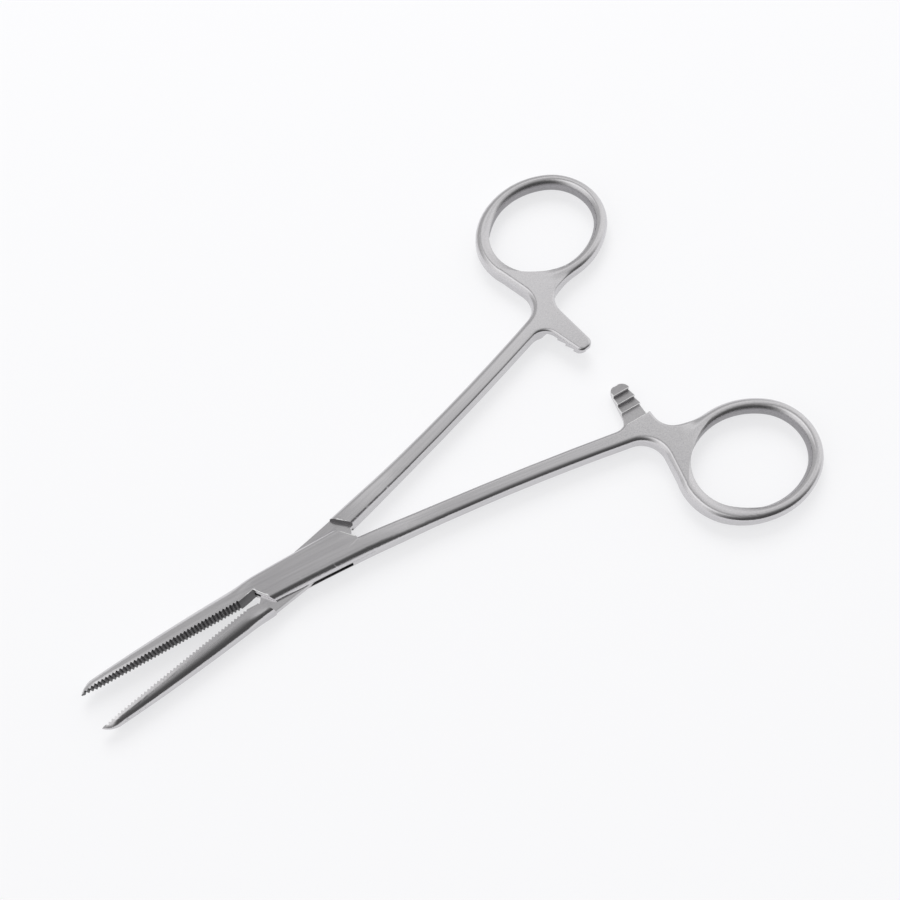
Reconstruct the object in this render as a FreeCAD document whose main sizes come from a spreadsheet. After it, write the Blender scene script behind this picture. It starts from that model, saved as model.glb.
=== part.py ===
import FreeCAD, Part
import math
import os
import Sketcher

# Hemostat forceps with a box lock, lying flat and partly open.
# Each half is drawn closed, with the pivot at the origin, the jaw toward -X and the ring toward +X,
# and is then turned open about the pivot. The box half has its jaw above the centre line and its
# shank below it; the tongue half is its mirror image apart from the lock and the ratchet.

# Which half: its sign multiplies y, and z in the ratchet
BOX_SIDE = 1
TONGUE_SIDE = -1

EDGE_TOLERANCE = 0.001

# Sizes in millimetres and degrees
SIZES = {
    # Opening of each half from closed
    "half_opening": 4.75,
    # Jaws
    "jaw_length": 49.4,
    "jaw_height": 3.5,
    "jaw_tip_thickness": 2.6,
    "jaw_straight": 5.0,
    "nose_length": 3.1,
    "nose_height": 1.66,
    "nose_radius": 4.4,
    "relief_length": 3.6,
    "relief_depth": 0.6,
    # Serrations of the clamping faces
    "serration_pitch": 0.772,
    "serration_depth": 0.4,
    "serration_flat": 0.07,
    "serration_bite": 0.25,
    "serration_margin": 1.0,
    "serration_count": 44,
    # Box lock
    "box_height": 5.0,
    "box_front": 11.4,
    "box_front_foot": 8.45,
    "box_rear_top": 8.4,
    "box_rear": 11.8,
    "box_lower": 3.84,
    "slot_height": 1.6,
    "tongue_gap": 0.05,
    "web_angle": 46.5,
    "front_web": 8.62,
    "rear_web": 9.08,
    "tongue_front_gap": 0.25,
    "tongue_rear_gap": 0.55,
    "tongue_corner": 0.2,
    "front_shoulder": 10.7,
    "front_shoulder_angle": 60.0,
    "rear_shoulder": 10.37,
    "rear_shoulder_angle": 52.5,
    # Pivot
    "pin_radius": 1.5,
    "pin_head_radius": 2.1,
    "pin_head_depth": 0.6,
    "pin_clearance": 0.05,
    # Shanks
    "shank_length": 71.3,
    "shank_gap": 0.5,
    "rack_setback": 1.9,
    "neck_width": 3.95,
    "shank_inner_radius": 900.0,
    "shank_outer_drop": 12.3,
    "shank_outer_radius": 526.0,
    "neck_thickness": 4.1,
    "taper_length": 18,
    "neck_radius": 5.17,
    "crotch_drop": 9.4,
    "crotch_radius": 4.5,
    # Finger rings
    "ring_along": 18.6,
    "ring_across": 15.45,
    "ring_half_length": 14.5,
    "ring_half_width": 12.0,
    "ring_flattening": 1.2,
    "ring_tilt": 3.0,
    "ring_wall": 3.0,
    "ring_height": 4.02,
    "ring_crown_radius": 4,
    "ring_inset": 0.12,
    "ring_lip": 1.4,
    # Ratchet arms
    "rack_root_radius": 3.4,
    "rack_angle": 80.0,
    "rack_width": 4.0,
    "rack_reach": 1.4,
    "rack_corner": 1.6,
    "rack_step": 8.2,
    "ratchet_pitch": 2.15,
    "ratchet_depth": 0.9,
    "ratchet_crest": 0.25,
    "ratchet_count": 3,
    # Rounding of the edges
    "outer_round": 1.25,
    "inner_round": 0.7,
}

# Lengths and points worked out from the sizes, as sheet formulas in the order of their use
LAYOUT = {
    # How far a cut runs past what it cuts
    "spare": "1",
    # Edges of the closed half: jaw, box and shank
    "tip_x": "-Sizes.jaw_length",
    "tip_y": "-Sizes.serration_bite / 2",
    "nose_x": "tip_x + Sizes.nose_length",
    "nose_y": "Sizes.nose_height",
    "back_x": "-Sizes.jaw_straight",
    "back_y": "Sizes.jaw_height",
    "back_radius": "((back_x - nose_x) ^ 2 + (back_y - nose_y) ^ 2) / (2 * (back_y - nose_y))",
    "box_top_x": "Sizes.box_rear_top",
    "box_top_y": "Sizes.jaw_height",
    "shank_root_x": "Sizes.box_rear",
    "shank_root_y": "-Sizes.shank_gap",
    "box_foot_x": "-Sizes.box_front_foot",
    "box_foot_y": "-Sizes.box_lower - Sizes.box_front_foot ^ 2 / (2 * Sizes.shank_outer_radius)"
                  " + Sizes.box_front_foot * ((Sizes.shank_outer_drop - Sizes.box_lower)"
                  " / Sizes.shank_length - Sizes.shank_length / (2 * Sizes.shank_outer_radius))",
    "box_nose_x": "-Sizes.box_front",
    "box_nose_y": "Sizes.relief_depth",
    "relief_x": "box_nose_x - Sizes.relief_length",
    "relief_y": "tip_y",
    # Tongue between the webs of the box
    "web_sine": "sin(Sizes.web_angle * 1deg)",
    "web_cosine": "cos(Sizes.web_angle * 1deg)",
    "tongue_front": "Sizes.front_web - Sizes.tongue_front_gap",
    "tongue_rear": "Sizes.rear_web - Sizes.tongue_rear_gap",
    "tongue_top_y": "Sizes.jaw_height",
    "tongue_top_x": "(tongue_rear - web_cosine * tongue_top_y) / web_sine",
    "tongue_tail_y": "Sizes.tongue_corner",
    "tongue_tail_x": "(tongue_rear - web_cosine * tongue_tail_y) / web_sine",
    "tongue_foot_y": "box_foot_y",
    "tongue_foot_x": "-(tongue_front + web_cosine * tongue_foot_y) / web_sine",
    "tongue_nose_y": "-Sizes.tongue_corner",
    "tongue_nose_x": "-(tongue_front + web_cosine * tongue_nose_y) / web_sine",
    "tongue_root_x": "box_nose_x - Sizes.relief_length / 4",
    "tongue_root_y": "tip_y + (box_nose_y - tip_y) * 3 / 4",
    # Inner side of the shank, root of the ratchet arm and the arm's tip
    "inner_x": "Sizes.shank_length - Sizes.rack_setback",
    "inner_y": "-Sizes.shank_outer_drop + Sizes.neck_width",
    "inner_angle": "atan2(inner_y - shank_root_y; inner_x - shank_root_x)"
                   " - asin(hypot(inner_x - shank_root_x; inner_y - shank_root_y)"
                   " / (2 * Sizes.shank_inner_radius))",
    "rack_lean": "Sizes.rack_angle * 1deg",
    "rack_root_x": "inner_x + Sizes.rack_root_radius * (sin(rack_lean) - sin(inner_angle))",
    "rack_root_y": "inner_y + Sizes.rack_root_radius * (cos(inner_angle) - cos(rack_lean))",
    "rack_side_y": "Sizes.rack_reach - Sizes.rack_corner * (1 - cos(rack_lean))",
    "rack_side_x": "rack_root_x + (rack_side_y - rack_root_y) / tan(rack_lean)",
    "rack_tip_x": "rack_side_x + Sizes.rack_corner * sin(rack_lean)",
    "rack_tip_y": "Sizes.rack_reach",
    "rack_right_x": "rack_side_x + Sizes.rack_width",
    "rack_end_x": "rack_right_x - Sizes.rack_corner",
    "rack_end_y": "Sizes.rack_reach",
    "rack_right_y": "Sizes.rack_reach - Sizes.rack_corner",
    # Centres of the finger ring's four arcs
    "ring_x": "Sizes.shank_length + Sizes.ring_along",
    "ring_y": "-Sizes.shank_outer_drop - Sizes.ring_across",
    "tilt_sine": "sin(Sizes.ring_tilt * 1deg)",
    "tilt_cosine": "cos(Sizes.ring_tilt * 1deg)",
    "ring_end_radius": "Sizes.ring_half_width - Sizes.ring_flattening",
    "ring_end_offset": "Sizes.ring_half_length - ring_end_radius",
    "ring_side_radius": "(ring_end_offset ^ 2 + Sizes.ring_half_width ^ 2 - ring_end_radius ^ 2)"
                        " / (2 * (Sizes.ring_half_width - ring_end_radius))",
    "ring_side_offset": "ring_side_radius - Sizes.ring_half_width",
    "blank_width": "2 * (Sizes.shank_outer_drop + Sizes.ring_across + Sizes.ring_half_width)",
    "ring_end_x": "ring_x - ring_end_offset * tilt_cosine",
    "ring_end_y": "ring_y + ring_end_offset * tilt_sine",
    "ring_side_x": "ring_x - ring_side_offset * tilt_sine",
    "ring_side_y": "ring_y - ring_side_offset * tilt_cosine",
    "ring_cover": "Sizes.ring_wall / 2 - Sizes.ring_inset",
    # Right side of the arm and the line that runs tangent onto the ring
    "crotch_x": "rack_right_x",
    "crotch_y": "-Sizes.crotch_drop",
    "crotch_centre_x": "crotch_x + Sizes.crotch_radius",
    "crotch_angle": "atan2(ring_side_y - crotch_y; ring_side_x - crotch_centre_x)"
                    " + asin((Sizes.crotch_radius + ring_side_radius + ring_cover)"
                    " / hypot(ring_side_x - crotch_centre_x; ring_side_y - crotch_y))",
    "crotch_end_x": "crotch_centre_x + Sizes.crotch_radius * sin(crotch_angle)",
    "crotch_end_y": "crotch_y - Sizes.crotch_radius * cos(crotch_angle)",
    "ring_top_x": "ring_side_x - (ring_side_radius + ring_cover) * sin(crotch_angle)",
    "ring_top_y": "ring_side_y + (ring_side_radius + ring_cover) * cos(crotch_angle)",
    "ring_crest_x": "ring_side_x - ring_side_radius * sin(crotch_angle)",
    "ring_crest_y": "ring_side_y + ring_side_radius * cos(crotch_angle)",
    # Outer side of the neck and the line that runs tangent onto the ring
    "neck_x": "Sizes.shank_length",
    "neck_y": "-Sizes.shank_outer_drop",
    "outer_angle": "atan2(neck_y - box_foot_y; neck_x - box_foot_x)"
                   " - asin(hypot(neck_x - box_foot_x; neck_y - box_foot_y)"
                   " / (2 * Sizes.shank_outer_radius))",
    "neck_centre_x": "neck_x + Sizes.neck_radius * sin(outer_angle)",
    "neck_centre_y": "neck_y - Sizes.neck_radius * cos(outer_angle)",
    "neck_angle": "atan2(ring_end_y - neck_centre_y; ring_end_x - neck_centre_x)"
                  " - asin((Sizes.neck_radius + ring_end_radius + ring_cover)"
                  " / hypot(ring_end_x - neck_centre_x; ring_end_y - neck_centre_y))",
    "neck_end_x": "neck_centre_x - Sizes.neck_radius * sin(neck_angle)",
    "neck_end_y": "neck_centre_y + Sizes.neck_radius * cos(neck_angle)",
    "ring_left_x": "ring_end_x + (ring_end_radius + ring_cover) * sin(neck_angle)",
    "ring_left_y": "ring_end_y - (ring_end_radius + ring_cover) * cos(neck_angle)",
    "ring_foot_x": "ring_end_x + ring_end_radius * sin(neck_angle)",
    "ring_foot_y": "ring_end_y - ring_end_radius * cos(neck_angle)",
    # Edge of the ring's hole where the neck runs into it
    "join_sine": "(ring_end_offset * tilt_cosine - ring_side_offset * tilt_sine)"
                 " / (ring_side_radius - ring_end_radius)",
    "join_cosine": "(ring_end_offset * tilt_sine + ring_side_offset * tilt_cosine)"
                   " / (ring_side_radius - ring_end_radius)",
    "lip_x": "ring_end_x - (ring_end_radius - Sizes.ring_lip) * join_sine",
    "lip_y": "ring_end_y + (ring_end_radius - Sizes.ring_lip) * join_cosine",
    "lip_side_a": "hypot(ring_crest_x - lip_x; ring_crest_y - lip_y)",
    "lip_side_b": "hypot(ring_foot_x - lip_x; ring_foot_y - lip_y)",
    "lip_side_c": "hypot(ring_foot_x - ring_crest_x; ring_foot_y - ring_crest_y)",
    "lip_area": "abs((ring_crest_x - lip_x) * (ring_foot_y - lip_y)"
                " - (ring_crest_y - lip_y) * (ring_foot_x - lip_x)) / 2",
    "lip_radius": "lip_side_a * lip_side_b * lip_side_c / (4 * lip_area)",
    # The ring's oval from its own centre, and its section from the oval
    "ring_west_x": "ring_x - Sizes.ring_half_length * tilt_cosine",
    "ring_west_y": "ring_y + Sizes.ring_half_length * tilt_sine",
    "oval_join_x": "ring_end_offset * ring_side_radius / (ring_side_radius - ring_end_radius)",
    "oval_join_y": "ring_side_offset * ring_end_radius / (ring_side_radius - ring_end_radius)",
    "oval_west_x": "-Sizes.ring_half_length",
    "oval_west_y": "0",
    "oval_north_west_x": "-oval_join_x",
    "oval_north_west_y": "oval_join_y",
    "oval_north_east_x": "oval_join_x",
    "oval_north_east_y": "oval_join_y",
    "oval_south_east_x": "oval_join_x",
    "oval_south_east_y": "-oval_join_y",
    "oval_south_west_x": "-oval_join_x",
    "oval_south_west_y": "-oval_join_y",
    "crest_high_x": "Sizes.outer_round - Sizes.ring_wall / 2",
    "crest_high_y": "Sizes.ring_height / 2",
    "wall_high_x": "Sizes.ring_wall / 2",
    "wall_high_y": "crest_high_y - (wall_high_x - crest_high_x) ^ 2 / (2 * Sizes.ring_crown_radius)",
    "wall_low_x": "wall_high_x",
    "wall_low_y": "-wall_high_y",
    "crest_low_x": "crest_high_x",
    "crest_low_y": "-crest_high_y",
    "side_low_x": "-Sizes.ring_wall / 2",
    "side_low_y": "Sizes.outer_round - crest_high_y",
    "side_high_x": "side_low_x",
    "side_high_y": "-side_low_y",
    # Upper face along the half, seen from the side
    "crown": "Sizes.box_height / 2",
    "jaw_drop": "(Sizes.box_height - Sizes.jaw_tip_thickness) / 2",
    "neck_drop": "(Sizes.box_height - Sizes.neck_thickness) / 2",
    "crown_tip_x": "tip_x - spare",
    "crown_tip_y": "crown - jaw_drop",
    "crown_front_x": "-Sizes.box_front",
    "crown_front_y": "crown",
    "crown_rear_x": "Sizes.box_rear",
    "crown_rear_y": "crown",
    "crown_taper_x": "Sizes.box_rear + Sizes.taper_length / 2",
    "crown_taper_y": "crown - neck_drop / 2",
    "crown_neck_x": "Sizes.box_rear + Sizes.taper_length",
    "crown_neck_y": "crown - neck_drop",
    "crown_end_x": "ring_x + Sizes.ring_half_length",
    "crown_end_y": "crown - neck_drop",
    "crown_end_high_x": "crown_end_x",
    "crown_end_high_y": "crown + 2 * spare",
    "crown_tip_high_x": "crown_tip_x",
    "crown_tip_high_y": "crown + 2 * spare",
    "jaw_crown_radius": "((crown_front_x - crown_tip_x) ^ 2 + jaw_drop ^ 2) / (2 * jaw_drop)",
    "taper_radius": "((crown_taper_x - crown_rear_x) ^ 2 + neck_drop ^ 2 / 4) / neck_drop",
    # Pivot pin, its seat and its bore
    "bore_radius": "Sizes.pin_radius + Sizes.pin_clearance",
    "axis_low_x": "0",
    "axis_low_y": "-crown",
    "axis_high_x": "0",
    "axis_high_y": "crown",
    "head_high_x": "Sizes.pin_head_radius",
    "head_high_y": "crown",
    "stem_high_x": "Sizes.pin_radius",
    "stem_high_y": "crown - Sizes.pin_head_depth",
    "stem_low_x": "Sizes.pin_radius",
    "stem_low_y": "Sizes.pin_head_depth - crown",
    "head_low_x": "Sizes.pin_head_radius",
    "head_low_y": "-crown",
    "seat_axis_low_x": "0",
    "seat_axis_low_y": "-crown - spare",
    "seat_axis_high_x": "0",
    "seat_axis_high_y": "crown + spare",
    "seat_mouth_high_x": "Sizes.pin_head_radius",
    "seat_mouth_high_y": "crown + spare",
    "seat_mouth_low_x": "Sizes.pin_head_radius",
    "seat_mouth_low_y": "-crown - spare",
    # Tongue's height: what is cut away above it
    "tongue_half_height": "Sizes.slot_height / 2 - Sizes.tongue_gap",
    "tongue_cut": "crown + spare - tongue_half_height",
    "tongue_cut_middle": "tongue_half_height + tongue_cut / 2",
    # First groove of the clamping face
    "groove_start": "tip_x + Sizes.serration_margin",
    "groove_mouth": "Sizes.serration_flat / 4",
    "groove_half": "(Sizes.serration_pitch - Sizes.serration_flat) / 2"
                   " * (1 + groove_mouth / Sizes.serration_depth)",
    "groove_left_x": "-groove_half",
    "groove_left_y": "tip_y - groove_mouth",
    "groove_bottom_x": "0",
    "groove_bottom_y": "tip_y + Sizes.serration_depth",
    "groove_right_x": "groove_half",
    "groove_right_y": "tip_y - groove_mouth",
    # Ratchet, seen along the half
    "rack_middle": "(inner_x + rack_right_x) / 2",
    "rack_cut": "rack_right_x - inner_x + spare",
    "ratchet_floor": "Sizes.ratchet_crest - Sizes.ratchet_depth",
    "step_high_x": "-Sizes.rack_step",
    "step_high_y": "crown + spare",
    "step_floor_x": "-Sizes.rack_step",
    "step_floor_y": "ratchet_floor",
    "ramp_end_x": "Sizes.rack_reach + spare",
    "ramp_end_y": "ratchet_floor - spare * Sizes.ratchet_depth / Sizes.ratchet_pitch",
    "ramp_high_x": "Sizes.rack_reach + spare",
    "ramp_high_y": "crown + spare",
}
for tooth in range(1, SIZES["ratchet_count"] + 1):
    for place, level in (("valley", "ratchet_floor"), ("crest", "Sizes.ratchet_crest")):
        LAYOUT[f"{place}_{tooth}_x"] = f"Sizes.rack_reach - {tooth} * Sizes.ratchet_pitch"
        LAYOUT[f"{place}_{tooth}_y"] = level


def cutter_corners(name, front, front_angle, rear, rear_angle):
    """Formulas for a four-cornered cut between two slanted lines, one on each side of the pivot."""
    corners = {}
    for end, sign, distance, angle in (("front", -1, front, front_angle), ("rear", 1, rear, rear_angle)):
        for place, step in (("low", -1), ("high", 1)):
            along = f"{step} * (Sizes.box_front + 3 * spare)"
            corner = f"{name}_{end}_{place}"
            corners[corner + "_x"] = f"{sign} * {distance} * sin({angle} * 1deg) + {along} * cos({angle} * 1deg)"
            corners[corner + "_y"] = f"{-sign} * {distance} * cos({angle} * 1deg) + {along} * sin({angle} * 1deg)"
    return corners


LAYOUT.update(cutter_corners("slot", "Sizes.front_web", "Sizes.web_angle", "Sizes.rear_web", "Sizes.web_angle"))
LAYOUT.update(cutter_corners("shoulder", "Sizes.front_shoulder", "Sizes.front_shoulder_angle",
                             "Sizes.rear_shoulder", "Sizes.rear_shoulder_angle"))

# Outlines: each entry is a point, and how the edge reaches it from the point before:
# straight, or by an arc of the named radius that turns left (1) or right (-1)
JAW_OUTLINE = [
    ("tip",),
    ("nose", "Sizes.nose_radius", -1),
    ("back", "Layout.back_radius", -1),
]
HANDLE_OUTLINE = [
    ("shank_root",),
    ("inner", "Sizes.shank_inner_radius", -1),
    ("rack_root", "Sizes.rack_root_radius", 1),
    ("rack_side",),
    ("rack_tip", "Sizes.rack_corner", -1),
    ("rack_end",),
    ("rack_right", "Sizes.rack_corner", -1),
    ("crotch",),
    ("crotch_end", "Sizes.crotch_radius", 1),
    ("ring_top",),
    ("ring_crest",),
    ("ring_foot", "Layout.lip_radius", 1),
    ("ring_left",),
    ("neck_end",),
    ("neck", "Sizes.neck_radius", 1),
]
HALF_OUTLINES = {
    BOX_SIDE: JAW_OUTLINE + [("box_top",)] + HANDLE_OUTLINE + [
        ("box_foot", "Sizes.shank_outer_radius", 1),
        ("box_nose",),
        ("relief",),
    ],
    TONGUE_SIDE: JAW_OUTLINE + [("tongue_top",), ("tongue_tail",)] + HANDLE_OUTLINE + [
        ("tongue_foot", "Sizes.shank_outer_radius", 1),
        ("tongue_nose",),
        ("tongue_root",),
        ("relief",),
    ],
}
OUTER_EDGES = ["nose", "back", "box_top", "tongue_top", "neck_end", "neck", "box_foot", "tongue_foot"]
INNER_EDGES = ["inner", "rack_root", "rack_side", "rack_tip", "rack_end", "rack_right", "crotch",
               "crotch_end", "ring_top"]
# The face seen from the side, the ring's oval and section, and the cuts
CROWN_OUTLINE = [
    ("crown_tip",),
    ("crown_front", "Layout.jaw_crown_radius", -1),
    ("crown_rear",),
    ("crown_taper", "Layout.taper_radius", -1),
    ("crown_neck", "Layout.taper_radius", 1),
    ("crown_end",),
    ("crown_end_high",),
    ("crown_tip_high",),
]
OVAL_OUTLINE = [
    ("oval_west", "Layout.ring_end_radius", -1),
    ("oval_north_west", "Layout.ring_end_radius", -1),
    ("oval_north_east", "Layout.ring_side_radius", -1),
    ("oval_south_east", "Layout.ring_end_radius", -1),
    ("oval_south_west", "Layout.ring_side_radius", -1),
]
SECTION_OUTLINE = [
    ("wall_high", "Sizes.ring_crown_radius", -1),
    ("wall_low",),
    ("crest_low", "Sizes.ring_crown_radius", -1),
    ("side_low", "Sizes.outer_round", -1),
    ("side_high",),
    ("crest_high", "Sizes.outer_round", -1),
]
SLOT_OUTLINE = [("slot_front_low",), ("slot_front_high",), ("slot_rear_high",), ("slot_rear_low",)]
SHOULDER_OUTLINE = [("shoulder_front_low",), ("shoulder_front_high",), ("shoulder_rear_high",),
                    ("shoulder_rear_low",)]
GROOVE_OUTLINE = [("groove_left",), ("groove_bottom",), ("groove_right",)]
PIN_OUTLINE = [("axis_low",), ("axis_high",), ("head_high",), ("stem_high",), ("stem_low",), ("head_low",)]
SEAT_OUTLINE = [("seat_axis_low",), ("seat_axis_high",), ("seat_mouth_high",), ("head_high",), ("stem_high",),
                ("stem_low",), ("head_low",), ("seat_mouth_low",)]
RATCHET_OUTLINE = [("step_high",), ("step_floor",)]
for tooth in range(SIZES["ratchet_count"], 0, -1):
    RATCHET_OUTLINE += [(f"valley_{tooth}",), (f"crest_{tooth}",)]
RATCHET_OUTLINE += [("ramp_end",), ("ramp_high",)]


def make_sheet(doc, name, rows):
    """A sheet with one aliased cell for each row, in order."""
    sheet = doc.addObject("Spreadsheet::Sheet", name)
    for line, (alias, content) in enumerate(rows.items(), start=1):
        formula = isinstance(content, str)
        sheet.set(f"A{line}", alias)
        sheet.set(f"B{line}", "=" + content if formula else str(content))
        sheet.setAlias(f"B{line}", alias)
    doc.recompute()
    return sheet


def number(doc, path):
    """The value of a sheet cell named as Sheet.alias, as a plain number."""
    sheet, alias = path.split(".")
    value = doc.getObject(sheet).get(alias)
    return float(getattr(value, "Value", value))


def origin_plane(body, role):
    """One of the body's own origin planes."""
    return next(feature for feature in body.Origin.OriginFeatures if feature.Role == role)


def add_sketch(body, name, role):
    """A sketch on one of the body's own origin planes."""
    sketch = body.newObject("Sketcher::SketchObject", name)
    sketch.AttachmentSupport = [(origin_plane(body, role), "")]
    sketch.MapMode = "FlatFace"
    return sketch


def shift_sketch(sketch, along_x="0", along_y="0", along_z="0", axis=None, angle=None):
    """Move a sketch off its plane by formulas, and turn it about one of its own axes."""
    if axis is not None:
        turned = FreeCAD.Rotation(axis, number(sketch.Document, angle))
        sketch.AttachmentOffset = FreeCAD.Placement(FreeCAD.Vector(), turned)
        sketch.setExpression("AttachmentOffset.Rotation.Angle", angle)
    sketch.setExpression("AttachmentOffset.Base.x", along_x)
    sketch.setExpression("AttachmentOffset.Base.y", along_y)
    sketch.setExpression("AttachmentOffset.Base.z", along_z)


def bind(sketch, constraint, formula):
    """Add a driving constraint and tie it to a formula."""
    index = sketch.addConstraint(constraint)
    sketch.setExpression(f"Constraints[{index}]", formula)


def arc_between(start, end, radius, turn):
    """The arc of a radius that turns left (1) or right (-1) between two points, and its start's index."""
    chord = end - start
    across = FreeCAD.Vector(-chord.y, chord.x, 0).normalize()
    rise = math.sqrt(max(radius ** 2 - chord.Length ** 2 / 4, 0))
    centre = start + chord * 0.5 + across * rise * turn
    first, last = (start, end) if turn > 0 else (end, start)
    begin = math.atan2(first.y - centre.y, first.x - centre.x)
    finish = math.atan2(last.y - centre.y, last.x - centre.x)
    if finish < begin:
        finish += 2 * math.pi
    circle = Part.Circle(centre, FreeCAD.Vector(0, 0, 1), radius)
    return Part.ArcOfCircle(circle, begin, finish), 1 if turn > 0 else 2


def draw_outline(sketch, outline, flip_x=1, flip_y=1):
    """Draw a closed outline through named layout points, mirrored in x or y where asked."""
    doc = sketch.Document
    sign_x = "" if flip_x > 0 else "-"
    sign_y = "" if flip_y > 0 else "-"
    names = [entry[0] for entry in outline]
    places = [FreeCAD.Vector(flip_x * number(doc, f"Layout.{name}_x"), flip_y * number(doc, f"Layout.{name}_y"), 0)
              for name in names]
    edges = []
    for index, name in enumerate(names):
        follower = (index + 1) % len(names)
        start, end = places[index], places[follower]
        if len(outline[follower]) == 3:
            radius, turn = outline[follower][1:]
            arc, start_point = arc_between(start, end, number(doc, radius), turn * flip_x * flip_y)
            edge = sketch.addGeometry(arc)
            bind(sketch, Sketcher.Constraint("Radius", edge, arc.Radius), radius)
        else:
            edge, start_point = sketch.addGeometry(Part.LineSegment(start, end)), 1
        bind(sketch, Sketcher.Constraint("DistanceX", -1, 1, edge, start_point, start.x),
             f"{sign_x}Layout.{name}_x")
        bind(sketch, Sketcher.Constraint("DistanceY", -1, 1, edge, start_point, start.y),
             f"{sign_y}Layout.{name}_y")
        edges.append((edge, start_point))
    for (edge, start_point), (after, after_start) in zip(edges, edges[1:] + edges[:1]):
        sketch.addConstraint(Sketcher.Constraint("Coincident", edge, 3 - start_point, after, after_start))


def add_cut(body, name, sketch, length):
    """A pocket cut evenly to both sides of its sketch."""
    cut = body.newObject("PartDesign::Pocket", name)
    cut.Profile = sketch
    cut.Midplane = True
    cut.setExpression("Length", length)
    body.Document.recompute()
    return cut


def turn_profile(feature, profile):
    """Turn a profile once round its own vertical axis, to add or to cut."""
    feature.Profile = profile
    feature.ReferenceAxis = (profile, ["V_Axis"])
    feature.Angle = 360
    feature.Document.recompute()


def mirror_feature(body, name, feature):
    """The same feature again on the other side of the middle plane."""
    mirror = body.newObject("PartDesign::Mirrored", name)
    mirror.Originals = [feature]
    mirror.MirrorPlane = (origin_plane(body, "XY_Plane"), [""])
    body.Tip = mirror
    body.Document.recompute()
    return mirror


def edges_over(shape, sketch, outline, targets):
    """Names of the shape's level edges over those of the outline's edges that lead to the target points."""
    names = [entry[0] for entry in outline]
    guides = [sketch.Geometry[(names.index(target) - 1) % len(names)].toShape()
              for target in targets if target in names]
    found = []
    for index, edge in enumerate(shape.Edges, start=1):
        middle = edge.valueAt((edge.FirstParameter + edge.LastParameter) / 2)
        foot = Part.Vertex(middle.x, middle.y, 0)
        level = math.hypot(edge.BoundBox.XLength, edge.BoundBox.YLength) > EDGE_TOLERANCE
        if level and any(foot.distToShape(guide)[0] < EDGE_TOLERANCE for guide in guides):
            found.append(f"Edge{index}")
    return found


def round_edges(body, name, base, edges, radius):
    """A fillet over named edges of a feature."""
    fillet = body.newObject("PartDesign::Fillet", name)
    fillet.Base = (base, edges)
    fillet.setExpression("Radius", radius)
    body.Document.recompute()
    return fillet


def add_blank(body, outline, side):
    """The forging's outline with its thickness along the length and its rounded edges."""
    sketch = add_sketch(body, "Outline", "XY_Plane")
    draw_outline(sketch, outline, flip_y=side)
    blank = body.newObject("PartDesign::Pad", "Blank")
    blank.Profile = sketch
    blank.Midplane = True
    blank.setExpression("Length", "Sizes.box_height + 2 * Layout.spare")
    body.Document.recompute()
    crown = add_sketch(body, "Crown", "XZ_Plane")
    draw_outline(crown, CROWN_OUTLINE)
    upper = add_cut(body, "UpperFace", crown, "Layout.blank_width")
    return sketch, mirror_feature(body, "LowerFace", upper)


def add_ring(body, side):
    """The finger ring: a tube with a flat inner wall, swept round the four arcs of an oval."""
    path = add_sketch(body, "RingPath", "XY_Plane")
    turn = FreeCAD.Vector(0, 0, -side)
    shift_sketch(path, "Layout.ring_x", f"{side} * Layout.ring_y", "0", turn, "Sizes.ring_tilt")
    draw_outline(path, OVAL_OUTLINE)
    section = add_sketch(body, "RingSection", "XZ_Plane")
    turn = FreeCAD.Vector(0, -side, 0)
    shift_sketch(section, "Layout.ring_west_x", "0", f"{-side} * Layout.ring_west_y", turn, "Sizes.ring_tilt")
    draw_outline(section, SECTION_OUTLINE)
    body.Document.recompute()
    ring = body.newObject("PartDesign::AdditivePipe", "Ring")
    ring.Profile = section
    ring.Spine = (path, [f"Edge{index + 1}" for index in range(len(OVAL_OUTLINE))])
    body.Document.recompute()


def add_ratchet(body, side):
    """Half the arm's height cut away down to a row of saw teeth."""
    sketch = add_sketch(body, "RatchetProfile", "YZ_Plane")
    shift_sketch(sketch, along_z="Layout.rack_middle")
    draw_outline(sketch, RATCHET_OUTLINE, flip_x=side, flip_y=side)
    add_cut(body, "Ratchet", sketch, "Layout.rack_cut")


def add_serrations(body, side):
    """A row of grooves across the clamping face, half a pitch apart on the two jaws."""
    sketch = add_sketch(body, "GrooveProfile", "XY_Plane")
    start = "Layout.groove_start" if side > 0 else "Layout.groove_start + Sizes.serration_pitch / 2"
    shift_sketch(sketch, along_x=start)
    draw_outline(sketch, GROOVE_OUTLINE, flip_y=side)
    groove = add_cut(body, "Groove", sketch, "Sizes.box_height")
    row = body.newObject("PartDesign::LinearPattern", "Serrations")
    row.Originals = [groove]
    row.Direction = (sketch, ["H_Axis"])
    row.setExpression("Length", "Sizes.serration_pitch * (Sizes.serration_count - 1)")
    row.setExpression("Occurrences", "Sizes.serration_count")
    body.Tip = row
    body.Document.recompute()


def make_half(doc, label, side):
    """A forged half without its share of the lock, its ratchet or its serrations."""
    body = doc.addObject("PartDesign::Body", label)
    body.Label = label
    axis = FreeCAD.Vector(0, 0, -side)
    body.Placement = FreeCAD.Placement(FreeCAD.Vector(), FreeCAD.Rotation(axis, number(doc, "Sizes.half_opening")))
    body.setExpression("Placement.Rotation.Angle", "Sizes.half_opening")
    body.setExpression("Placement.Base.z", "Sizes.box_height / 2")
    outline = HALF_OUTLINES[side]
    sketch, blank = add_blank(body, outline, side)
    edges = edges_over(blank.Shape, sketch, outline, OUTER_EDGES)
    outer = round_edges(body, "OuterRounding", blank, edges, "Sizes.outer_round")
    edges = edges_over(outer.Shape, sketch, outline, INNER_EDGES)
    round_edges(body, "InnerRounding", outer, edges, "Sizes.inner_round")
    add_ring(body, side)
    return body


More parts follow.
